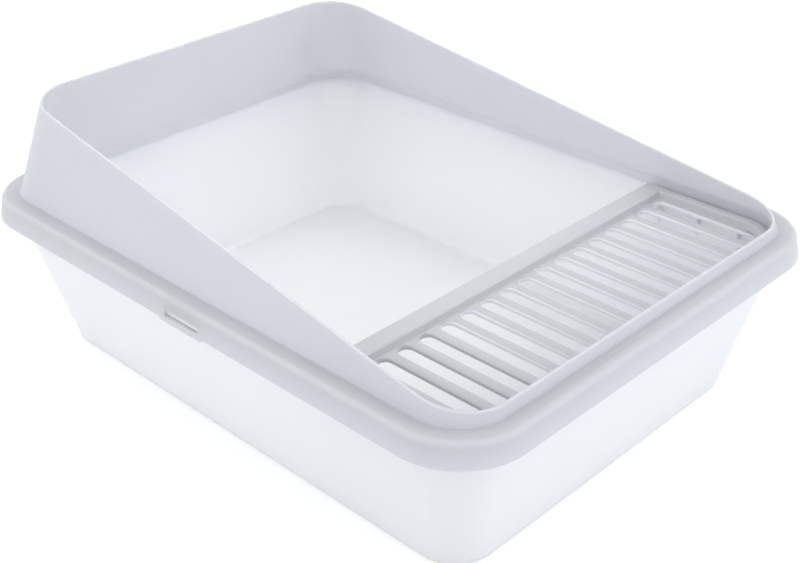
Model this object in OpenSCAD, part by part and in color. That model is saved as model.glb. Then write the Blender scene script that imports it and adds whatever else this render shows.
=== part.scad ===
// Cat litter tray with a lift-off splash guard and a drop-in step grate.
// +Z is up, the origin is the middle of the tray's underside, and the low entry side faces -Y.

/* [Overall] */
// Width across the guard's skirt
body_w = 400; // [396:1:404]
// Length across the guard's skirt
body_l = 520; // [516:1:524]

/* [Tray] */
// Angle by which the tray's walls lean outward
tray_flare = 12; // [10:0.5:14]
// Height of the rim that the guard sits on
rim_z = 127.4; // [124:0.2:130]
// Thickness of the tray's walls and rim
tray_wall = 2.2; // [2:0.1:2.4]
// Thickness of the tray's floor
floor_t = 3; // [2:0.2:4]
// Radius of the tray's four upright corners
tray_corner_r = 31; // [28:1:34]
// Rounding between the floor and the walls inside
floor_round = 7; // [4:0.5:10]
// Height of the rim's downturned edge
rim_drop = 8.4; // [6:0.2:10]
// Width of the lug behind each latch window
lug_w = 35; // [24:1:35]

/* [Guard] */
// Thickness of the guard
guard_wall = 2; // [1.8:0.1:2.2]
// Distance from the skirt's lower edge in to the foot of the guard's walls
flange_w = 17; // [16.5:0.5:17.5]
// Angle by which the guard's walls lean inward
guard_lean = 14; // [12:0.5:16]
// Radius of the guard's upright corners
guard_corner_r = 37; // [35:1:39]
// Height of the sloping top edge at mid length
top_mid_z = 173.7; // [168:0.5:178]
// Angle by which the top edge falls towards the entry
top_slope = 8.5; // [6:0.5:9]
// Height of the skirt round the flange
skirt_h = 17; // [15:0.5:18]
// Angle by which the skirt flares outward
skirt_flare = 12; // [10:1:14]
// Rounding of the flange's outer edge
flange_round = 4; // [3:0.5:5]
// Corner radius of the skirt seen from above
skirt_corner_r = 53; // [50:1:56]
// Rounding where the wall meets the flange
foot_round = 3; // [2:0.5:4]
// Depth of the inner lip below the flange
lip_drop = 5.2; // [4:0.2:6]

/* [Latches] */
// Place of the latches along the long sides
latch_y = -3; // [-20:1:20]
// Width of each latch tab
tab_w = 48; // [44:1:56]
// Depth of the tab below the skirt
tab_drop = 2.2; // [1:0.2:3]
// Width of each latch window
window_w = 36; // [36:1:40]
// Height of each latch window
window_h = 4; // [3:0.2:5]

/* [Grate] */
// Height of the grate's raised border
border_z = 124.6; // [123:0.2:126]
// Depth of the slotted panel below the border
panel_drop = 6; // [3:0.5:7]
// Thickness of the slotted panel
panel_t = 3.8; // [3:0.2:4.4]
// Distance from the middle of the box to the grate's rear edge
grate_rear = 116; // [112:1:120]
// Width of the border along the rear edge
rear_border = 15; // [12:0.5:18]
// Width of the border along the other edges
side_border = 6.6; // [6:0.2:7]
// Gap between the grate and the guard's lip
grate_gap = 3.8; // [3:0.2:4.4]
// Number of slots
slot_count = 17; // [13:2:17]
// Width of each slot
slot_w = 11.8; // [8:0.2:12]
// Bevel along the top of each slot
slot_bevel = 1.2; // [0.6:0.2:1.6]

/* [Hidden] */
$fn = 96;
corner_steps = 16;
far = 600;
over = 1;

// Rounds a length to the nearest tenth of a millimetre
function tenth(x) = round(x * 10) / 10;

// Guard
guard_half = [body_w, body_l] / 2 - [1, 1] * flange_w;
guard_ratio = tan(guard_lean);
guard_across = guard_wall / cos(guard_lean);
flange_z = rim_z + guard_wall;
foot_z = rim_z + guard_wall / 4;
skirt_z = flange_z - skirt_h;
skirt_across = guard_wall / cos(skirt_flare);
lip_z = rim_z - lip_drop;
lip_out = 0.2;
lip_wall = 1.8;
lip_half = guard_half + [1, 1] * (lip_out - lip_wall);
lip_plan_r = guard_corner_r - lip_wall;
flange_reach = body_w / 2 - lip_half[0] - lip_wall / 2;
hollow_sink = 0.04;
hollow_bury = 0.7;

// Tray; its mouth clears the guard's lip by a small gap, and its floor follows from the lean
lip_gap = 0.45;
tray_across = tray_wall / cos(tray_flare);
mouth_reach = lip_out + lip_gap + tray_across + lip_drop * tan(tray_flare);
mouth_half = guard_half + [1, 1] * tenth(mouth_reach);
tray_half = mouth_half - [1, 1] * tenth(rim_z * tan(tray_flare));
tray_ratio = (tray_half[0] - mouth_half[0]) / rim_z;
tray_lean = atan(tray_ratio);
mouth_inset = tray_wall / 2;
rim_inset = 7.4;
rim_half = [body_w, body_l] / 2 - [1, 1] * rim_inset;
rim_corner_r = skirt_corner_r - rim_inset;

// Latches
window_rise = 2.8;
window_z = skirt_z + window_rise;
tab_chamfer = 3;
lug_gap = 0.4;
lug_rise = 1.4;
lug_over = 1.8;
lug_z = skirt_z + lug_rise;
lug_top = window_z + window_h + lug_over;

// Grate
panel_z = border_z - panel_drop;
grate_z = panel_z - panel_t;
grate_half = lip_half - [1, 1] * grate_gap;
grate_plan_r = lip_plan_r - grate_gap;
grate_rear_r = 3;
recess_half = grate_half - [1, 1] * side_border;
recess_plan_r = grate_plan_r - side_border;
recess_rear = grate_rear + rear_border;
recess_draft = 1.6;
recess_round = 1.2;
border_wall = 2;

// Slots, kept clear of the recess's sides
slot_rear_gap = 0.6;
slot_front_gap = 1.4;
slot_side_gap = 1.9;
end_slot_short = 7;
slot_rear = recess_rear + recess_draft + slot_rear_gap;
slot_front = recess_half[1] - recess_draft - slot_front_gap;
slot_span = 2 * (recess_half[0] - recess_draft - slot_side_gap) - slot_w;
slot_pitch = slot_span / (slot_count - 1);

// Supports under the grate, moulded on the tray's walls
support_t = 3;
support_drop = 26;
support_tip = 4;
support_reach = 6;
support_inset = 12;
side_support_run = grate_half[1] - grate_plan_r - support_inset / 2 - grate_rear - support_inset;
side_supports = [for (i = [0 : 2]) -grate_rear - support_inset - side_support_run * i / 2];
front_support_run = 2 * (grate_half[0] - grate_plan_r - 2 * support_inset);
front_supports = [for (i = [0 : 3]) front_support_run * (i / 3 - 1 / 2)];

// Gate mark on the front flange
gate_x = -3;
gate_inset = 10;
gate_d = 4;
gate_h = 0.5;

// Adds a mirrored copy on the other long side
module both_sides_x() {
  children();
  mirror([1, 0, 0]) children();
}

// Adds a mirrored copy on the other short side
module both_sides_y() {
  children();
  mirror([0, 1, 0]) children();
}

// Rectangle with round corners, given by its half sizes
module rounded_outline(half, r) {
  square([2 * (half[0] - r), 2 * half[1]], center = true);
  square([2 * half[0], 2 * (half[1] - r)], center = true);
  both_sides_x() both_sides_y() translate([half[0] - r, half[1] - r]) circle(r);
}

// Upright block with round corners between two heights
module rounded_block(half, r, z0, z1) {
  translate([0, 0, z0]) linear_extrude(z1 - z0) rounded_outline(half, r);
}

// Sweeps a profile round a rounded rectangle: its x runs outward from the path and its y is the height
module edge_sweep(half, r) {
  both_sides_x() translate([half[0], half[1] - r, 0]) rotate([90, 0, 0])
    linear_extrude(2 * (half[1] - r)) children();
  both_sides_y() translate([r - half[0], half[1], 0]) rotate([90, 0, 90])
    linear_extrude(2 * (half[0] - r)) children();
  both_sides_x() both_sides_y() translate([half[0] - r, half[1] - r, 0])
    rotate_extrude(angle = 90) translate([r, 0]) children();
}

// Filled profile whose face starts at [0, z0], leans back as it rises and ends in a rounded edge at z1
module shoulder(angle, r, z0, z1, depth) {
  centre = [-(r + (z1 - r - z0) * sin(angle)) / cos(angle), z1 - r];
  polygon([[0, z0], centre + r * [cos(angle), sin(angle)], centre,
           [centre[0], z1], [-depth, z1], [-depth, z0]]);
  translate(centre) circle(r);
}

// Concave rounding in the corner at the origin between level ground and a face rising on the left.
// A positive angle leans the face back to the left; the rounding runs slightly into both.
module hollow(angle, r, bury) {
  centre = [r * (1 - sin(angle)) / cos(angle), r] - [1, 1] * hollow_sink;
  touch = centre - r * [cos(angle), sin(angle)];
  difference() {
    polygon([[centre[0], -bury], centre, touch, touch - bury * [cos(angle), sin(angle)], [-bury, -bury]]);
    translate(centre) circle(r);
  }
}

// Corner points of a wall's outline where the wall meets the plane z = mid_z + slope * y.
// The outline has half sizes `half` at z_ref and draws in by `ratio` as it rises; its corner radius stays.
function outline_ring(half, r, ratio, z_ref, mid_z, slope = 0) = [
  for (corner = [0 : 3], step = [0 : corner_steps])
    let (side = [[1, 1], [-1, 1], [-1, -1], [1, -1]][corner],
         turn = 90 * (corner + step / corner_steps),
         x = side[0] * (half[0] - r) + r * cos(turn),
         y = side[1] * (half[1] - r) + r * sin(turn),
         z = (mid_z + slope * (y + side[1] * ratio * z_ref)) / (1 + slope * side[1] * ratio))
    [x - side[0] * ratio * (z - z_ref), y - side[1] * ratio * (z - z_ref), z]
];

// Solid through a list of rings with the same number of points, joined each to the next.
// A closed one joins the last ring to the first, and an open one is capped at both.
module ring_solid(rings, closed) {
  count = len(rings[0]);
  bands = closed ? len(rings) : len(rings) - 1;
  sides = [for (band = [0 : bands - 1], i = [0 : count - 1])
    let (next = (i + 1) % count, low = band * count, high = (band + 1) % len(rings) * count)
    [low + i, high + i, high + next, low + next]];
  caps = [[for (i = [0 : count - 1]) i], [for (i = [1 : count]) len(rings) * count - i]];
  polyhedron([for (ring = rings) each ring], closed ? sides : concat(sides, caps));
}

// Distance from the middle to the tray's inner face at a height
function tray_inner(half_size, z) = half_size - tray_ratio * z - tray_across;

// Rounding between the tray's floor and its walls
module floor_hollow() {
  top = floor_t + floor_round * (1 + sin(tray_lean));
  edge_sweep(tray_half, tenth(tray_corner_r + tray_ratio * top))
    translate([-tray_across - tray_ratio * floor_t, floor_t])
      mirror([1, 0]) hollow(tray_lean, floor_round, hollow_bury);
}

module tray_rim() {
  difference() {
    rounded_block(rim_half, rim_corner_r, rim_z - rim_drop, rim_z);
    rounded_block(rim_half - [1, 1] * tray_wall, rim_corner_r - tray_wall,
                  rim_z - rim_drop - over, rim_z - tray_wall);
    rounded_block(mouth_half - [1, 1] * mouth_inset, tray_corner_r - mouth_inset,
                  rim_z - tray_wall - over, rim_z + over);
  }
}

// Lug on the rim's downturned edge that shows through the latch window
module lug() {
  inner = rim_half[0] - tray_wall;
  outer = body_w / 2 - skirt_across - lug_gap;
  slope = tan(skirt_flare);
  translate([0, latch_y + lug_w / 2, 0]) rotate([90, 0, 0]) linear_extrude(lug_w)
    polygon([[inner, lug_z], [outer - (lug_z - skirt_z) * slope, lug_z],
             [outer - (lug_top - skirt_z) * slope, lug_top], [inner, lug_top]]);
}

// One triangular rib whose back is buried in the leaning wall on the +X side
module support(inner, reach, along) {
  low = grate_z - support_drop;
  bury = tray_wall / 2;
  foot = tray_ratio * support_drop;
  translate([0, along + support_t / 2, 0]) rotate([90, 0, 0]) linear_extrude(support_t)
    polygon([[inner - reach, grate_z], [inner + bury, grate_z],
             [inner + bury + foot, low], [inner - reach, grate_z - support_tip]]);
}

module supports() {
  reach = tray_inner(tray_half[0], grate_z) - grate_half[0] + support_reach;
  both_sides_x() for (y = side_supports) support(tray_inner(tray_half[0], grate_z), reach, y);
  rotate([0, 0, -90]) for (x = front_supports) support(tray_inner(tray_half[1], grate_z), reach, x);
}

// Walls and floor
module tray_shell() {
  inner_half = tray_half - [1, 1] * tray_across;
  inner_r = tray_corner_r - tray_across;
  ring_solid([outline_ring(tray_half, tray_corner_r, tray_ratio, 0, 0),
              outline_ring(tray_half, tray_corner_r, tray_ratio, 0, rim_z),
              outline_ring(inner_half, inner_r, tray_ratio, 0, rim_z),
              outline_ring(inner_half, inner_r, tray_ratio, 0, floor_t)], closed = false);
}

module tray() {
  color("white") {
    tray_shell();
    floor_hollow();
    tray_rim();
    both_sides_x() lug();
    supports();
  }
}

// Flange and flared skirt; the origin of x is the skirt's lower outer edge
module skirt_profile() {
  difference() {
    shoulder(skirt_flare, flange_round, skirt_z, flange_z, flange_reach);
    translate([(sin(skirt_flare) - guard_wall) / cos(skirt_flare), 0])
      shoulder(skirt_flare, flange_round - guard_wall, skirt_z - over, rim_z, flange_reach);
  }
}

module guard_lip() {
  difference() {
    rounded_block(lip_half + [1, 1] * lip_wall, lip_plan_r + lip_wall, lip_z, rim_z + guard_wall / 2);
    rounded_block(lip_half, lip_plan_r, lip_z - over, flange_z);
  }
}

// Tab hanging below the skirt under the latch window
module latch_tab() {
  translate([body_w / 2 - guard_wall, latch_y, 0]) rotate([90, 0, 90]) linear_extrude(guard_wall)
    polygon([[-tab_w / 2, skirt_z], [tab_w / 2, skirt_z],
             [tab_w / 2 - tab_chamfer, skirt_z - tab_drop], [tab_chamfer - tab_w / 2, skirt_z - tab_drop]]);
}

// Leaning walls cut off along the slope
module guard_walls() {
  inner_half = guard_half - [1, 1] * guard_across;
  inner_r = guard_corner_r - guard_across;
  slope = tan(top_slope);
  ring_solid([outline_ring(guard_half, guard_corner_r, guard_ratio, flange_z, foot_z),
              outline_ring(guard_half, guard_corner_r, guard_ratio, flange_z, top_mid_z, slope),
              outline_ring(inner_half, inner_r, guard_ratio, flange_z, top_mid_z, slope),
              outline_ring(inner_half, inner_r, guard_ratio, flange_z, foot_z)], closed = true);
}

module guard() {
  foot_top = foot_round * (1 - sin(guard_lean));
  color("lightgray") difference() {
    union() {
      guard_walls();
      edge_sweep([body_w, body_l] / 2, skirt_corner_r) skirt_profile();
      edge_sweep(guard_half, tenth(guard_corner_r + guard_ratio * foot_top))
        translate([0, flange_z]) hollow(guard_lean, foot_round, hollow_bury);
      guard_lip();
      both_sides_x() latch_tab();
      translate([gate_x, gate_inset - body_l / 2, rim_z]) cylinder(d = gate_d, h = guard_wall + gate_h);
    }
    both_sides_x() translate([rim_half[0] + over, latch_y - window_w / 2, window_z])
      cube([rim_inset, window_w, window_h]);
  }
}

// Outline of the grate seen from above, drawn in by an inset
module grate_outline(inset) {
  rear = [grate_half[0] - grate_rear_r, -grate_rear - grate_rear_r];
  difference() {
    intersection() {
      rounded_outline(grate_half - [1, 1] * inset, grate_plan_r - inset);
      translate([-far / 2, -grate_rear - inset - far]) square([far, far]);
    }
    both_sides_x() difference() {
      translate(rear) square(grate_rear_r);
      translate(rear) circle(grate_rear_r - inset);
    }
  }
}

// Part of a shape that lies in front of the recess's rear edge
module in_front_of(y) {
  intersection() {
    children();
    translate([-far / 2, -far - y, 0]) cube([far, far, far]);
  }
}

// Side of the recess: a drafted face under a rounded edge; the origin of x is the recess's top edge
module recess_side() {
  draft = atan(recess_draft / panel_drop);
  mirror([1, 0]) translate([recess_draft, 0])
    shoulder(draft, recess_round, panel_z, border_z, recess_draft + recess_round + over);
}

// Opening with round ends, bevelled along its top
module slot(front) {
  rear_y = -slot_rear - slot_w / 2;
  front_y = -front + slot_w / 2;
  run = rear_y - front_y;
  top = slot_w / 2 + slot_bevel + over;
  for (y = [rear_y, front_y]) translate([0, y, 0]) {
    translate([0, 0, grate_z - over]) cylinder(d = slot_w, h = panel_t + 2 * over);
    translate([0, 0, panel_z - slot_bevel]) cylinder(d1 = slot_w, d2 = 2 * top, h = slot_bevel + over);
  }
  translate([0, rear_y, 0]) rotate([90, 0, 0]) linear_extrude(run)
    polygon([[-slot_w / 2, grate_z - over], [slot_w / 2, grate_z - over],
             [slot_w / 2, panel_z - slot_bevel], [top, panel_z + over],
             [-top, panel_z + over], [-slot_w / 2, panel_z - slot_bevel]]);
}

module slots() {
  last = (slot_count - 1) / 2;
  for (i = [-last : last])
    translate([i * slot_pitch, 0, 0]) slot(slot_front - (abs(i) == last ? end_slot_short : 0));
}

// Hollow under the border
module border_hollow() {
  inner = recess_half + [1, 1] * border_wall;
  translate([0, 0, grate_z - over]) linear_extrude(border_z - border_wall - grate_z + over) difference() {
    grate_outline(border_wall);
    intersection() {
      rounded_outline(inner, recess_plan_r + border_wall);
      translate([-far / 2, -recess_rear + border_wall - far]) square([far, far]);
    }
  }
}

module grate() {
  color("silver") {
    difference() {
      translate([0, 0, grate_z]) linear_extrude(border_z - grate_z) grate_outline(0);
      in_front_of(recess_rear - recess_round)
        rounded_block(recess_half + [1, 1] * recess_round, recess_plan_r + recess_round,
                      panel_z, border_z + over);
      slots();
      border_hollow();
    }
    in_front_of(recess_rear - recess_round) edge_sweep(recess_half, recess_plan_r) recess_side();
    translate([-recess_half[0] - recess_round, -recess_rear, 0]) rotate([90, 0, 90])
      linear_extrude(2 * (recess_half[0] + recess_round)) recess_side();
  }
}

tray();
guard();
grate();
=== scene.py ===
"""A cat litter tray with a lift-off splash guard and a drop-in step grate, in a photo studio."""

import math

import bmesh
import bpy
from mathutils import Matrix, Vector


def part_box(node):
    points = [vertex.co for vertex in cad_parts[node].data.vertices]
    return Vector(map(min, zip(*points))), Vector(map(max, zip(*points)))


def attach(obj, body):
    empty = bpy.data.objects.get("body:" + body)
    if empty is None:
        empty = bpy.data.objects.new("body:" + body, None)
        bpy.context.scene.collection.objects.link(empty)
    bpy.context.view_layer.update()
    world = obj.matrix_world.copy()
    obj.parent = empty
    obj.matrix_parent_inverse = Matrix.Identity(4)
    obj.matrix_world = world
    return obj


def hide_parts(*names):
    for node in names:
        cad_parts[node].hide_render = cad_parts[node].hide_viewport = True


MM = 0.001
CORNER_STEPS = 20
OVERSHOOT = 1.0    # how far a cut or a joined shape runs past the face it meets
SLACK = 0.01       # allowance for rounding when lengths are compared


def degrees(function):
    """Makes a trigonometric function take degrees."""
    return lambda angle: function(math.radians(angle))


sin, cos, tan = (degrees(f) for f in (math.sin, math.cos, math.tan))

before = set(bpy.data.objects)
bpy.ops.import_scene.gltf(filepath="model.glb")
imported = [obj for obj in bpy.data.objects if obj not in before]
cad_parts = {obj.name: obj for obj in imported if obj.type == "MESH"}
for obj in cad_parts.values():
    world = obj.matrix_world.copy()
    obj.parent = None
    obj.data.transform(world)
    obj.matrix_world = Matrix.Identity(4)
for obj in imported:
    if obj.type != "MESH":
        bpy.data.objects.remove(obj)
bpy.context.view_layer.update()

# ---------------------------------------------------------------- sizes, in millimetres
grate_low, grate_high = (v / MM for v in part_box("grate"))

BODY = (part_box("guard")[1] / MM).xy
RIM_Z = (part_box("tray")[1] / MM).z

# Guard
WALL = 2.0
FLANGE_Z = RIM_Z + WALL
SKIRT_H = 17.0
SKIRT_Z = FLANGE_Z - SKIRT_H
SKIRT_FLARE = 12.0
SKIRT_R = 53.0
FLANGE_ROUND = 4.0
FLANGE_W = 17.0
FOOT_ROUND = 1.2
LEAN = 14.0
GUARD_R = 37.0
FOOT_R = 37.6
TOP_SLOPE = 8.5
GUARD_HALF = BODY - Vector((FLANGE_W, FLANGE_W))
ACROSS = WALL / cos(LEAN)
TOP_MID_Z = 173.7
TOP_ROUND = 0.9
LIP_WALL = 1.8
LIP_OUT = 0.2
LIP_Z = RIM_Z - 5.2
EDGE = 0.6

# How much a face is backed by something that stops light from soaking through it, and so how much lighter its
# colour is painted, as painted light against the shade on it; 0 is a free wall.
BACKING_AND_PAINTED_LIGHT = "backing_and_painted_light"
OVER_TRAY, ON_LIP, IN_SLOT = 0.35, 1.0, 1.9

# Latches
LATCH_Y = -3.0
TAB_W, TAB_DROP, TAB_CHAMFER = 48.0, 2.2, 3.0
WINDOW_W, WINDOW_H, WINDOW_RISE, WINDOW_REACH = 36.0, 4.0, 2.8, 4.0
SILL_GAP, SILL_SLOPE, SILL_BEVEL = 0.1, 25.0, 0.1
LUG_W, LUG_GAP, LUG_RISE, LUG_OVER, LUG_BEVEL = 36.8, 0.4, 1.4, 1.8, 0.6

# Tray
TRAY_WALL = 2.2
TRAY_FLARE = 12.0
TRAY_R = 31.0
TRAY_ACROSS = TRAY_WALL / cos(TRAY_FLARE)
FLOOR_T = 3.0
FLOOR_ROUND = 7.0
BASE_ROUND = 1.6
LIP_GAP = 0.45
MOUTH_REACH = round(LIP_OUT + LIP_GAP + TRAY_ACROSS + (RIM_Z - LIP_Z) * tan(TRAY_FLARE), 1)
MOUTH_HALF = GUARD_HALF + Vector((MOUTH_REACH, MOUTH_REACH))
BASE_INSET = round(RIM_Z * tan(TRAY_FLARE), 1)
BASE_HALF = MOUTH_HALF - Vector((BASE_INSET, BASE_INSET))
TRAY_RATIO = -BASE_INSET / RIM_Z
RIM_INSET = 7.4
RIM_DROP = 8.4
RIM_ROUND = 1.0

# Grate
BORDER_Z = grate_high.z
GRATE_Z = grate_low.z
PANEL_Z = BORDER_Z - 6.0
SIDE_BORDER, REAR_BORDER = 6.6, 15.0
GRATE_R, GRATE_REAR_R, GRATE_LEAST_R = 31.4, 3.0, 1.0
RECESS_DRAFT, RECESS_ROUND, PANEL_ROUND = 1.6, 2.0, 0.5
BORDER_WALL = 2.0
BORDER_ROUND = 0.9
SLOTS, SLOT_W, SLOT_ROUND, SLOT_EASE, SLOT_STEPS = 17, 11.8, 0.5, 0.15, 15
CROWN, CROWN_FLAT, END_FLARE, WALL_FLARE = 1.3, 0.4, 0.1, 1.5
CROWN_START, CROWN_LEAD, CROWN_EDGE, CROWN_STEPS = 0.1, 0.3, 0.05, 8
SLOT_REAR_GAP, SLOT_FRONT_GAP, SLOT_SIDE_GAP, END_SLOT_SHORT = 0.6, 1.4, 1.9, 7.0

# Ribs under the grate
SIDE_RIBS, FRONT_RIBS = 3, 4
RIB_T, RIB_DROP, RIB_TIP, RIB_REACH, RIB_INSET, RIB_BEVEL = 3.0, 26.0, 4.0, 3.4, 12.0, 0.5

# Gate mark on the front flange
GATE_X, GATE_INSET, GATE_D, GATE_H, GATE_STEPS = -3.0, 10.0, 4.0, 0.5, 24

# Materials and studio; lengths in metres, lamp powers in watts
CLOUD_SCALE, CLOUD_LOW, CLOUD_HIGH = 9.0, 0.985, 1.015
SHEEN_SCALE, SHEEN_SPREAD = 38.0, 0.04
GRAIN_STRENGTH = 0.35
# Painted light: a face with a backing of 1 has its colour scaled up by this, against the shade it sits in.
PAINTED_LIGHT_GAIN = 1.25
PLASTIC_IOR = 1.49
FLOOR_SIZE, FLOOR_DROP, FLOOR_SHADE, FLOOR_GLOW = 14.0, 0.0005, 0.83, 0.35
AMBIENT_COLOUR, AMBIENT_STRENGTH = (0.965, 0.98, 1.0), 0.9
AIM_Z = 0.1
BOX_SIZE, BOX_DISTANCE = (2.6, 2.6), 3.0
GRID_SIZE, GRID_DISTANCE = (0.3, 0.4), 1.0
WARM, COOL = (1.0, 0.98, 0.95), (0.8, 0.9, 1.0)


# ---------------------------------------------------------------- mesh helpers
def outline(half_x, front, rear, r_front, r_rear, side_stops=()):
    """Points of a rounded rectangle seen from above, anticlockwise, each with the signs of its corner.
    side_stops adds points along the two long sides, at those distances; they belong to no corner."""
    points = []
    corners = ((1, 1, r_rear, rear), (-1, 1, r_rear, rear), (-1, -1, r_front, front), (1, -1, r_front, front))
    for turn, (sx, sy, r, end) in enumerate(corners):
        for step in range(CORNER_STEPS + 1):
            a = 90 * (turn + step / CORNER_STEPS)
            points.append((sx * (half_x - r) + r * cos(a), end - sy * r + r * sin(a), sx, sy))
        if turn in (1, 3):
            stops = sorted(side_stops, reverse=turn == 1)
            points += [(sx * half_x, y, sx, 0) for y in stops]
    return points


def level(points, z):
    """Lays an outline's points flat at height z."""
    return [Vector((x, y, z)) for x, y, _, _ in points]


def leaning(points, ratio, z_ref, mid_z, slope=0.0):
    """The outline on a wall that draws in by `ratio` as it rises, where it meets z = mid_z + slope * y."""
    ring = []
    for x, y, sx, sy in points:
        z = (mid_z + slope * (y + sy * ratio * z_ref)) / (1 + slope * sy * ratio)
        ring.append(Vector((x - sx * ratio * (z - z_ref), y - sy * ratio * (z - z_ref), z)))
    return ring


def loft(bm, rings, closed=False, cap=False):
    """Skin through rings of equal count. `closed` joins the last to the first, `cap` fills both ends.
    Gives back the rows of vertices, one for each ring."""
    rows = [[bm.verts.new(p * MM) for p in ring] for ring in rings]
    count = len(rows[0])
    pairs = list(zip(rows, rows[1:] + rows[:1])) if closed else list(zip(rows, rows[1:]))
    for low, high in pairs:
        for i in range(count):
            j = (i + 1) % count
            bm.faces.new((low[i], low[j], high[j], high[i]))
    if cap:
        bm.faces.new(list(reversed(rows[0])))
        bm.faces.new(rows[-1])
    return rows


def arc(cx, cz, r, start, end, steps=5):
    """Points in X and Z along part of a circle, from the angle `start` to `end`."""
    return [(cx + r * cos(start + (end - start) * i / steps), cz + r * sin(start + (end - start) * i / steps))
            for i in range(steps + 1)]


def prism(bm, section, low_y, high_y, place=Matrix.Identity(4), bevel=0.4):
    """A section in X and Z run along Y, with every edge rounded."""
    ends = [[bm.verts.new(place @ Vector((x * MM, y * MM, z * MM))) for x, z in section]
            for y in (low_y, high_y)]
    count = len(section)
    faces = [bm.faces.new((ends[0][i], ends[0][(i + 1) % count], ends[1][(i + 1) % count], ends[1][i]))
             for i in range(count)]
    faces += [bm.faces.new(list(reversed(ends[0]))), bm.faces.new(ends[1])]
    edges = list({e for f in faces for e in f.edges})
    bmesh.ops.recalc_face_normals(bm, faces=faces)
    bmesh.ops.bevel(bm, geom=edges, offset=bevel * MM, segments=3, profile=0.5, affect="EDGES")


def mesh_object(name, build):
    bm = bmesh.new()
    build(bm)
    bmesh.ops.recalc_face_normals(bm, faces=bm.faces)
    mesh = bpy.data.meshes.new(name)
    bm.to_mesh(mesh)
    bm.free()
    obj = bpy.data.objects.new(name, mesh)
    bpy.context.scene.collection.objects.link(obj)
    return obj


def combine(obj, build, operation):
    """Takes a built shape out of obj, or joins it on, for good."""
    cutter = mesh_object(obj.name + ".cutter", build)
    mod = obj.modifiers.new("combine", "BOOLEAN")
    mod.operation, mod.solver, mod.object = operation, "EXACT", cutter
    evaluated = obj.evaluated_get(bpy.context.evaluated_depsgraph_get())
    mesh = bpy.data.meshes.new_from_object(evaluated)
    obj.modifiers.clear()
    obj.data = mesh
    bpy.data.objects.remove(cutter)


def soften(obj, angle=32):
    """Smooth shading that keeps real edges, with flat areas shaded flat."""
    obj.data.polygons.foreach_set("use_smooth", [True] * len(obj.data.polygons))
    obj.data.set_sharp_from_angle(angle=math.radians(angle))
    mod = obj.modifiers.new("even shading", "WEIGHTED_NORMAL")
    mod.keep_sharp = True
    mod.weight = 80


# ---------------------------------------------------------------- guard
TAB_STOPS = [LATCH_Y + s * w for s in (-1, 1) for w in (TAB_W / 2 - TAB_CHAMFER, TAB_W / 2)]


def guard_outline(x, r):
    """Outline whose sides lie x outside the skirt's lower edge (negative is inward)."""
    half = BODY + Vector((x, x))
    return outline(half.x, -half.y, half.y, r, r, TAB_STOPS)


def guard_wall_ring(inset, drop):
    """Ring on the leaning wall, `inset` in from its outer face and `drop` below the sloping top."""
    points = guard_outline(-FLANGE_W - inset, GUARD_R - inset)
    return leaning(points, tan(LEAN), FLANGE_Z, TOP_MID_Z - drop, tan(TOP_SLOPE))


def lowered_at_tabs(ring):
    """Drops the stretches of a ring that form the latch tabs."""
    for p in ring:
        if abs(p.y - LATCH_Y) <= TAB_W / 2 - TAB_CHAMFER + SLACK:
            p.z -= TAB_DROP
    return ring


def latches():
    """Both latches: where each lies along Y before its turn about Z, and that turn."""
    return [(y, Matrix.Rotation(math.radians(turn), 4, "Z")) for y, turn in ((LATCH_Y, 0), (-LATCH_Y, 180))]


def skirt_inside(z):
    """X of the skirt's inner face at height z."""
    return BODY.x - WALL / cos(SKIRT_FLARE) - (z - SKIRT_Z) * tan(SKIRT_FLARE)


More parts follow.
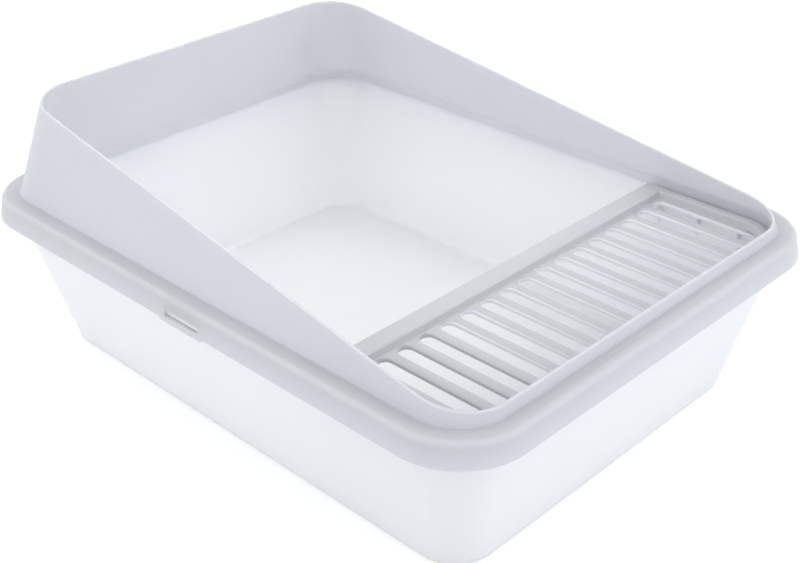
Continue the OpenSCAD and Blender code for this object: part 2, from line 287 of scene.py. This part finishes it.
def build_guard(bm):
    s, c, t = sin(SKIRT_FLARE), cos(SKIRT_FLARE), tan(SKIRT_FLARE)
    e = EDGE
    skirt_in = -WALL / c
    band_x = -(FLANGE_ROUND + (SKIRT_H - FLANGE_ROUND) * s) / c
    band_z = FLANGE_Z - FLANGE_ROUND
    above_tab = 2 * e
    rings = []

    def swept(section, base_r, at_tabs=False):
        for x, z in section:
            ring = level(guard_outline(x, base_r + x), z)
            rings.append(lowered_at_tabs(ring) if at_tabs else ring)

    # outside, from the skirt's lower edge to the foot of the wall
    swept(arc(-e * (1 + s) / c, SKIRT_Z + e, e, -90, SKIRT_FLARE, 4), SKIRT_R, at_tabs=True)
    swept([(-above_tab * t, SKIRT_Z + above_tab)], SKIRT_R)
    below_round = FLANGE_ROUND * s - above_tab
    swept([(-(band_z + below_round - SKIRT_Z) * t, band_z + below_round)], SKIRT_R)
    swept(arc(band_x, band_z, FLANGE_ROUND, SKIRT_FLARE, 90, 8), SKIRT_R)
    foot = len(rings)
    foot_x = -FLANGE_W + FOOT_ROUND * (1 - sin(LEAN)) / cos(LEAN)
    swept(arc(foot_x, FLANGE_Z + FOOT_ROUND, FOOT_ROUND, 270, 180 + LEAN, 6), FOOT_R + FLANGE_W)
    # over the wall's rounded top
    quarter = [90 * i / 5 for i in range(6)]
    for a in quarter:
        rings.append(guard_wall_ring(TOP_ROUND * (1 - cos(a)), TOP_ROUND * (1 - sin(a))))
    for a in reversed(quarter):
        rings.append(guard_wall_ring(ACROSS - TOP_ROUND * (1 - cos(a)), TOP_ROUND * (1 - sin(a))))
    # down the inside to the lip
    inner = guard_outline(-FLANGE_W - ACROSS, GUARD_R - ACROSS)
    for z in (FLANGE_Z + WALL, FLANGE_Z):
        rings.append(leaning(inner, tan(LEAN), FLANGE_Z, z))
    lip_in = LIP_OUT - LIP_WALL - FLANGE_W
    lip_out = LIP_OUT - FLANGE_W
    lip_r = GUARD_R - lip_out
    lip_first = len(rings) - 1
    swept([(lip_in, RIM_Z)], lip_r)
    swept(arc(lip_in + e, LIP_Z + e, e, 180, 270, 4), lip_r)
    swept(arc(lip_out - e, LIP_Z + e, e, 270, 360, 4), lip_r)
    lip_last = len(rings)
    # under the flange and down the skirt's inside
    swept([(lip_out, RIM_Z)], lip_r)
    swept(arc(band_x, band_z, FLANGE_ROUND - WALL, 90, SKIRT_FLARE, 6), SKIRT_R)
    swept([(skirt_in - above_tab * t, SKIRT_Z + above_tab)], SKIRT_R)
    swept(arc(skirt_in + e * (1 - s) / c, SKIRT_Z + e, e, 180 + SKIRT_FLARE, 270, 4), SKIRT_R, at_tabs=True)
    # Painted light: the skirt, flange and lip are marked so that their colour is painted lighter against the
    # shade there.
    backing_and_painted_light = bm.verts.layers.float.new(BACKING_AND_PAINTED_LIGHT)
    for i, row in enumerate(loft(bm, rings, closed=True)):
        free = foot <= i < lip_first
        for vert in row:
            vert[backing_and_painted_light] = 0 if free else ON_LIP if lip_first <= i < lip_last else OVER_TRAY


def build_gate(bm):
    """The round mark where the plastic was let into the mould."""
    centre = Vector((GATE_X, GATE_INSET - BODY.y, 0))
    profile = [(GATE_D / 2, FLANGE_Z - OVERSHOOT)] + arc(GATE_D / 2 - GATE_H, FLANGE_Z, GATE_H, 0, 90, 3)
    turns = [360 * i / GATE_STEPS for i in range(GATE_STEPS)]
    loft(bm, [[centre + Vector((r * cos(a), r * sin(a), z)) for a in turns] for r, z in profile], cap=True)


def build_windows(bm):
    """Cutters for the latch windows, whose sills slope down and out."""
    backing_and_painted_light = bm.verts.layers.float.new(BACKING_AND_PAINTED_LIGHT)
    low, high = SKIRT_Z + WINDOW_RISE, SKIRT_Z + WINDOW_RISE + WINDOW_H
    inside, outside = BODY.x - RIM_INSET + OVERSHOOT, BODY.x + WINDOW_REACH
    slope_x = BODY.x - WALL - LUG_GAP
    section = [(inside, low), (slope_x, low), (outside, low - (outside - slope_x) * tan(SILL_SLOPE)),
               (outside, high), (inside, high)]
    for y, place in latches():
        prism(bm, section, y - WINDOW_W / 2, y + WINDOW_W / 2, place)
    # Painted light: the window faces are marked to be painted a little lighter.
    for vert in bm.verts:
        vert[backing_and_painted_light] = OVER_TRAY


def build_sills(bm):
    """Ledges inside the windows' lower edges, which all but touch the lugs."""
    backing_and_painted_light = bm.verts.layers.float.new(BACKING_AND_PAINTED_LIGHT)
    low, high = SKIRT_Z + 2 * EDGE, SKIRT_Z + WINDOW_RISE + EDGE
    depth = LUG_GAP - SILL_GAP
    section = [(skirt_inside(low) - depth, low), (skirt_inside(low) + OVERSHOOT, low),
               (skirt_inside(high) + OVERSHOOT, high), (skirt_inside(high) - depth, high)]
    half = WINDOW_W / 2 + OVERSHOOT
    for y, place in latches():
        prism(bm, section, y - half, y + half, place, SILL_BEVEL)
    # Painted light: the sills are marked to be painted a little lighter.
    for vert in bm.verts:
        vert[backing_and_painted_light] = OVER_TRAY


# ---------------------------------------------------------------- tray
def tray_wall_ring(inset, z):
    """Ring on the tray's leaning wall, `inset` in from its outer face, at height z."""
    half = BASE_HALF - Vector((inset, inset))
    points = outline(half.x, -half.y, half.y, TRAY_R - inset, TRAY_R - inset)
    return leaning(points, TRAY_RATIO, 0, z)


def tray_outline(x, r):
    """Outline whose sides lie x outside the tray's base (negative is inward)."""
    half = BASE_HALF + Vector((x, x))
    return outline(half.x, -half.y, half.y, r, r)


def build_tray(bm):
    flare = math.degrees(math.atan(-TRAY_RATIO))
    s, c = sin(flare), cos(flare)
    rim_x = (BODY - BASE_HALF).x - RIM_INSET
    rim_r = SKIRT_R - RIM_INSET - rim_x
    under = RIM_Z - TRAY_WALL
    e = EDGE
    rings = []

    def swept(section, base_r):
        for x, z in section:
            rings.append(level(tray_outline(x, base_r + x), z))

    swept(arc(-BASE_ROUND * (1 - s) / c, BASE_ROUND, BASE_ROUND, -90, -flare, 5), TRAY_R)
    rings.append(tray_wall_ring(0, under - e))
    swept([(-TRAY_RATIO * under + e, under)], TRAY_R + TRAY_RATIO * under)
    swept([(rim_x - TRAY_WALL - e, under), (rim_x - TRAY_WALL, under - e)], rim_r)
    swept(arc(rim_x - TRAY_WALL + e, RIM_Z - RIM_DROP + e, e, 180, 270, 3), rim_r)
    swept(arc(rim_x - e, RIM_Z - RIM_DROP + e, e, 270, 360, 3), rim_r)
    swept(arc(rim_x - RIM_ROUND, RIM_Z - RIM_ROUND, RIM_ROUND, 0, 90, 4), rim_r)
    mouth = -TRAY_RATIO * RIM_Z - TRAY_ACROSS
    mouth_r = TRAY_R - TRAY_ACROSS - mouth
    swept([(mouth + e, RIM_Z), (mouth + e * (1 - cos(45)), RIM_Z - e * (1 - cos(45)))], mouth_r)
    rings.append(tray_wall_ring(TRAY_ACROSS, RIM_Z - e))
    floor_x = -TRAY_ACROSS + (-FLOOR_ROUND + (FLOOR_T + FLOOR_ROUND) * s) / c
    floor_r = TRAY_R + TRAY_RATIO * (FLOOR_T + FLOOR_ROUND * (1 - s))
    swept(arc(floor_x, FLOOR_T + FLOOR_ROUND, FLOOR_ROUND, -flare, -90, 10), floor_r)
    loft(bm, rings, cap=True)


def inner_half(axis, z):
    """Half the tray's inside width (axis 0) or length (axis 1) at height z."""
    return BASE_HALF[axis] - TRAY_RATIO * z - TRAY_ACROSS


def build_ribs(bm):
    """Supports for the grate, which run down the tray's side and front walls."""
    grate_half = Vector((grate_high.x, -grate_low.y))
    bury, foot = TRAY_WALL / 2, TRAY_RATIO * RIB_DROP
    reach = inner_half(0, GRATE_Z) - grate_half.x + RIB_REACH
    first = -grate_high.y + RIB_INSET
    run = grate_half.y - GRATE_R - RIB_INSET / 2 - first
    span = 2 * (grate_half.x - GRATE_R - 2 * RIB_INSET)
    side_spots = [first + run * i / (SIDE_RIBS - 1) for i in range(SIDE_RIBS)]
    spots = [(0, 0, -y) for y in side_spots] + [(0, 180, y) for y in side_spots]
    spots += [(1, -90, span * (i / (FRONT_RIBS - 1) - 1 / 2)) for i in range(FRONT_RIBS)]
    for axis, turn, along in spots:
        x = inner_half(axis, GRATE_Z)
        section = [(x - reach, GRATE_Z), (x + bury, GRATE_Z), (x + bury + foot, GRATE_Z - RIB_DROP),
                   (x - reach, GRATE_Z - RIB_TIP)]
        place = Matrix.Rotation(math.radians(turn), 4, "Z")
        prism(bm, section, along - RIB_T / 2, along + RIB_T / 2, place, RIB_BEVEL)


def build_lugs(bm):
    """Lugs on the tray's rim, which snap into the guard's windows."""
    inner = BODY.x - RIM_INSET - TRAY_WALL
    low, high = SKIRT_Z + LUG_RISE, SKIRT_Z + WINDOW_RISE + WINDOW_H + LUG_OVER
    section = [(inner, low), (skirt_inside(low) - LUG_GAP, low),
               (skirt_inside(high) - LUG_GAP, high), (inner, high)]
    for y, place in latches():
        prism(bm, section, y - LUG_W / 2, y + LUG_W / 2, place, LUG_BEVEL)


# ---------------------------------------------------------------- grate
def grate_outline(inset, rear_extra=0.0):
    """Outline `inset` in from the grate's edge, and by `rear_extra` more at the rear."""
    half_x, front, rear = grate_high.x - inset, grate_low.y + inset, grate_high.y - inset - rear_extra
    return outline(half_x, front, rear, GRATE_R - inset, max(GRATE_REAR_R - inset, GRATE_LEAST_R))


def build_grate(bm):
    rings = []
    more = REAR_BORDER - SIDE_BORDER
    e = EDGE
    shell = SIDE_BORDER - BORDER_WALL
    roof = BORDER_Z - BORDER_WALL
    draft = math.degrees(math.atan(RECESS_DRAFT / (BORDER_Z - PANEL_Z)))

    def add(inset, z, extra=0.0):
        rings.append(level(grate_outline(inset, extra), z))

    # underside of the panel, the hollow under the border and the outer wall
    add(shell + e, GRATE_Z, more)
    add(shell, GRATE_Z + e, more)
    add(shell, roof - e, more)
    add(shell - e, roof, more)
    add(BORDER_WALL + e, roof)
    add(BORDER_WALL, roof - e)
    add(BORDER_WALL, GRATE_Z + e)
    add(BORDER_WALL - e, GRATE_Z)
    add(e, GRATE_Z)
    add(0, GRATE_Z + e)
    for x, z in arc(BORDER_ROUND, BORDER_Z - BORDER_ROUND, BORDER_ROUND, 180, 90, 4):
        add(x, z)
    # over the border's inner edge and down into the recess
    inner = SIDE_BORDER + RECESS_DRAFT
    top_x = inner - (RECESS_ROUND + (BORDER_Z - PANEL_Z - RECESS_ROUND) * sin(draft)) / cos(draft)
    for x, z in arc(top_x, BORDER_Z - RECESS_ROUND, RECESS_ROUND, 90, draft, 5):
        add(x, z, more)
    add(inner - PANEL_ROUND * sin(draft), PANEL_Z + PANEL_ROUND, more)
    add(inner + PANEL_ROUND, PANEL_Z, more)
    loft(bm, rings, cap=True)


def build_slots(bm):
    """Cutters for the slots. They flare towards the top, which leaves the ribs between them crowned."""
    backing_and_painted_light = bm.verts.layers.float.new(BACKING_AND_PAINTED_LIGHT)
    panel_x = grate_high.x - SIDE_BORDER - RECESS_DRAFT
    rear = grate_high.y - REAR_BORDER - RECESS_DRAFT - SLOT_REAR_GAP
    front = grate_low.y + SIDE_BORDER + RECESS_DRAFT + SLOT_FRONT_GAP
    r = SLOT_W / 2
    pitch = 2 * (panel_x - SLOT_SIDE_GAP - r) / (SLOTS - 1)
    rib = pitch / 2 - r
    crown_r = (rib ** 2 + CROWN ** 2) / (2 * CROWN)
    reach = rib - CROWN_FLAT / 2
    levels = [(SLOT_ROUND, GRATE_Z - OVERSHOOT), (SLOT_ROUND, GRATE_Z), (SLOT_EASE, GRATE_Z + SLOT_EASE),
              (0, GRATE_Z + SLOT_ROUND), (0, PANEL_Z - CROWN - CROWN_LEAD),
              (CROWN_START, PANEL_Z - CROWN - CROWN_EDGE)]
    for k in range(1, CROWN_STEPS + 1):
        grow = CROWN_START + (reach - CROWN_START) * k / CROWN_STEPS
        levels.append((grow, PANEL_Z - crown_r + math.sqrt(crown_r ** 2 - (rib - grow) ** 2)))
    levels.append((reach, PANEL_Z + OVERSHOOT))
    for i in range(SLOTS):
        x = (i - (SLOTS - 1) / 2) * pitch
        low = front + (END_SLOT_SHORT if i in (0, SLOTS - 1) else 0) + r
        high = rear - r
        rings = []
        for grow, z in levels:
            ring = []
            for end, turn in ((high, 0), (low, 180)):
                for k in range(SLOT_STEPS + 1):
                    a = turn + 180 * k / SLOT_STEPS
                    outer = i == (SLOTS - 1 if cos(a) > 0 else 0)
                    side = r + (min(grow, WALL_FLARE) if outer else grow)
                    ring.append(Vector((x + side * cos(a), end + (r + END_FLARE * grow) * sin(a), z)))
            rings.append(ring)
        # Painted light: the slot walls and lower edges are marked to be painted lighter against the shade
        # inside the slots.
        for (grow, z), row in zip(levels, loft(bm, rings, cap=True)):
            for vert in row:
                vert[backing_and_painted_light] = IN_SLOT if grow <= CROWN_START or z < GRATE_Z + EDGE else 0


# ---------------------------------------------------------------- materials
def plastic(name, colour, roughness, grain, depth, soften_by, scatter):
    """Moulded plastic: a faint cloudiness in its colour, uneven sheen and a fine moulded grain.
    Light soaks `scatter` metres into it, less where it is backed, and there its colour is painted lighter:
    painted light against the shade on the lip, skirt, sills and slot walls."""
    mat = bpy.data.materials.new(name)
    mat.use_nodes = True
    nodes, links = mat.node_tree.nodes, mat.node_tree.links
    shader = nodes["Principled BSDF"]
    shader.inputs["IOR"].default_value = PLASTIC_IOR
    shader.inputs["Subsurface Radius"].default_value = (1.0, 1.0, 1.0)
    shader.inputs["Subsurface Scale"].default_value = scatter
    where = nodes.new("ShaderNodeTexCoord").outputs["Object"]

    def noise(scale, detail):
        node = nodes.new("ShaderNodeTexNoise")
        node.inputs["Scale"].default_value = scale
        node.inputs["Detail"].default_value = detail
        links.new(where, node.inputs["Vector"])
        return node.outputs["Fac"]

    def spread(source, low, high, clamp=True):
        node = nodes.new("ShaderNodeMapRange")
        node.clamp = clamp
        node.inputs["To Min"].default_value = low
        node.inputs["To Max"].default_value = high
        links.new(source, node.inputs["Value"])
        return node.outputs["Result"]

    mix = nodes.new("ShaderNodeMix")
    mix.data_type = "RGBA"
    mix.inputs["A"].default_value = (*(CLOUD_LOW * k for k in colour), 1)
    mix.inputs["B"].default_value = (*(min(1.0, CLOUD_HIGH * k) for k in colour), 1)
    links.new(noise(CLOUD_SCALE, 3.0), mix.inputs["Factor"])
    backing_and_painted_light = nodes.new("ShaderNodeAttribute")
    backing_and_painted_light.attribute_name = BACKING_AND_PAINTED_LIGHT
    # Painted light: the colour is scaled up where the mask marks a backed, shaded face.
    lighter = nodes.new("ShaderNodeVectorMath")
    lighter.operation = "SCALE"
    links.new(mix.outputs["Result"], lighter.inputs[0])
    links.new(spread(backing_and_painted_light.outputs["Fac"], 1.0, PAINTED_LIGHT_GAIN, clamp=False), lighter.inputs["Scale"])
    links.new(lighter.outputs[0], shader.inputs["Base Color"])
    links.new(spread(backing_and_painted_light.outputs["Fac"], soften_by, 0.0), shader.inputs["Subsurface Weight"])
    sheen = spread(noise(SHEEN_SCALE, 4.0), roughness - SHEEN_SPREAD, roughness + SHEEN_SPREAD)
    links.new(sheen, shader.inputs["Roughness"])
    bump = nodes.new("ShaderNodeBump")
    bump.inputs["Strength"].default_value = GRAIN_STRENGTH
    bump.inputs["Distance"].default_value = depth
    links.new(noise(grain, 2.0), bump.inputs["Height"])
    links.new(bump.outputs["Normal"], shader.inputs["Normal"])
    return mat


def finish_piece(obj, body, material):
    """Shades a piece, gives it its material and puts it on its body in place of the plain solid."""
    soften(obj)
    obj.data.materials.clear()
    obj.data.materials.append(material)
    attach(obj, body)
    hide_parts(body)


tray_plastic = plastic("tray_plastic", (0.945, 0.957, 0.99), roughness=0.22, grain=700.0, depth=0.00004,
                       soften_by=0.8, scatter=0.007)
guard_plastic = plastic("guard_plastic", (0.58, 0.578, 0.61), roughness=0.42, grain=1100.0, depth=0.00006,
                        soften_by=1.0, scatter=0.008)
grate_plastic = plastic("grate_plastic", (0.57, 0.57, 0.59), roughness=0.42, grain=1100.0, depth=0.00006,
                        soften_by=0.3, scatter=0.003)

tray = mesh_object("litter_tray", build_tray)
combine(tray, build_ribs, "UNION")
combine(tray, build_lugs, "UNION")
finish_piece(tray, "tray", tray_plastic)

guard = mesh_object("splash_guard", build_guard)
combine(guard, build_sills, "UNION")
combine(guard, build_windows, "DIFFERENCE")
combine(guard, build_gate, "UNION")
finish_piece(guard, "guard", guard_plastic)

grate = mesh_object("step_grate", build_grate)
combine(grate, build_slots, "DIFFERENCE")
finish_piece(grate, "grate", grate_plastic)


# ---------------------------------------------------------------- floor, background and light
def seen_directly(tree):
    """1 for what the camera, a reflection or a clear thing shows, 0 for what lights the object."""
    nodes, links = tree.nodes, tree.links
    path = nodes.new("ShaderNodeLightPath")
    total = path.outputs["Is Camera Ray"]
    for name in ("Is Glossy Ray", "Is Transmission Ray"):
        add = nodes.new("ShaderNodeMath")
        add.operation, add.use_clamp = "ADD", True
        links.new(total, add.inputs[0])
        links.new(path.outputs[name], add.inputs[1])
        total = add.outputs[0]
    return total


def studio_floor():
    """A sheet that keeps the object's shadow and glows just enough to show white around it."""
    def sheet(bm):
        h = FLOOR_SIZE / 2
        bm.faces.new([bm.verts.new((x, y, 0)) for x, y in ((-h, -h), (h, -h), (h, h), (-h, h))])

    floor = mesh_object("floor", sheet)
    mat = bpy.data.materials.new("floor")
    mat.use_nodes = True
    shader = mat.node_tree.nodes["Principled BSDF"]
    shader.inputs["Base Color"].default_value = (FLOOR_SHADE, FLOOR_SHADE, FLOOR_SHADE, 1)
    shader.inputs["Roughness"].default_value = 0.9
    shader.inputs["Specular IOR Level"].default_value = 0.1
    shader.inputs["Emission Color"].default_value = (1, 1, 1, 1)
    glow = mat.node_tree.nodes.new("ShaderNodeMath")
    glow.operation = "MULTIPLY"
    glow.inputs[1].default_value = FLOOR_GLOW
    mat.node_tree.links.new(seen_directly(mat.node_tree), glow.inputs[0])
    mat.node_tree.links.new(glow.outputs[0], shader.inputs["Emission Strength"])
    floor.data.materials.append(mat)
    floor.location.z = -FLOOR_DROP


def studio_world():
    """An even, faintly blue surround, which the camera sees as white."""
    world = bpy.data.worlds.new("studio")
    bpy.context.scene.world = world
    world.use_nodes = True
    tree = world.node_tree
    ambient = tree.nodes["Background"]
    ambient.inputs["Color"].default_value = (*AMBIENT_COLOUR, 1)
    ambient.inputs["Strength"].default_value = AMBIENT_STRENGTH
    white = tree.nodes.new("ShaderNodeBackground")
    white.inputs["Color"].default_value = (1, 1, 1, 1)
    white.inputs["Strength"].default_value = 1.0
    mix = tree.nodes.new("ShaderNodeMixShader")
    tree.links.new(seen_directly(tree), mix.inputs["Fac"])
    tree.links.new(ambient.outputs[0], mix.inputs[1])
    tree.links.new(white.outputs[0], mix.inputs[2])
    tree.links.new(mix.outputs[0], tree.nodes["World Output"].inputs["Surface"])


def direction(azimuth, elevation):
    return Vector((sin(azimuth) * cos(elevation), -cos(azimuth) * cos(elevation), sin(elevation)))


def softbox(name, azimuth, elevation, distance, size, power, colour, spread=180, aim_y=0.0):
    data = bpy.data.lights.new(name, "AREA")
    data.shape = "RECTANGLE"
    data.size, data.size_y = size
    data.energy, data.spread, data.color = power, math.radians(spread), colour
    lamp = bpy.data.objects.new(name, data)
    back = direction(azimuth, elevation)
    lamp.location = Vector((0, aim_y, AIM_Z)) + back * distance
    lamp.rotation_mode = "QUATERNION"
    lamp.rotation_quaternion = (-back).to_track_quat("-Z", "Y")
    bpy.context.scene.collection.objects.link(lamp)


studio_floor()
studio_world()
softbox("top_box", 0, 90, BOX_DISTANCE, BOX_SIZE, 9.0, WARM)
softbox("grid_box", 0, 90, GRID_DISTANCE, GRID_SIZE, 0.09, WARM, spread=16, aim_y=0.06)
softbox("front_box", 25, 25, BOX_DISTANCE, BOX_SIZE, 16.0, COOL)
softbox("left_box", -115, 25, BOX_DISTANCE, BOX_SIZE, 8.0, COOL)


# ---------------------------------------------------------------- camera, fitted to the photograph
def photo_camera():
    azimuth, elevation, roll = -45.42, 30.10, -0.77
    at = Vector((-0.6366, -0.6416, 0.58689))
    data = bpy.data.cameras.new("photo_camera")
    data.sensor_width, data.lens = 36.0, 59.92
    data.clip_start, data.clip_end = 0.01, 100.0
    cam = bpy.data.objects.new("photo_camera", data)
    bpy.context.scene.collection.objects.link(cam)
    back = direction(azimuth, elevation)
    right0 = Vector((0, 0, 1)).cross(back).normalized()
    up0 = back.cross(right0)
    right = right0 * cos(roll) + up0 * sin(roll)
    up = up0 * cos(roll) - right0 * sin(roll)
    cam.matrix_world = Matrix((
        (right.x, up.x, back.x, at.x),
        (right.y, up.y, back.y, at.y),
        (right.z, up.z, back.z, at.z),
        (0, 0, 0, 1)))
    bpy.context.scene.camera = cam


photo_camera()
bpy.context.scene.view_settings.view_transform = "Standard"
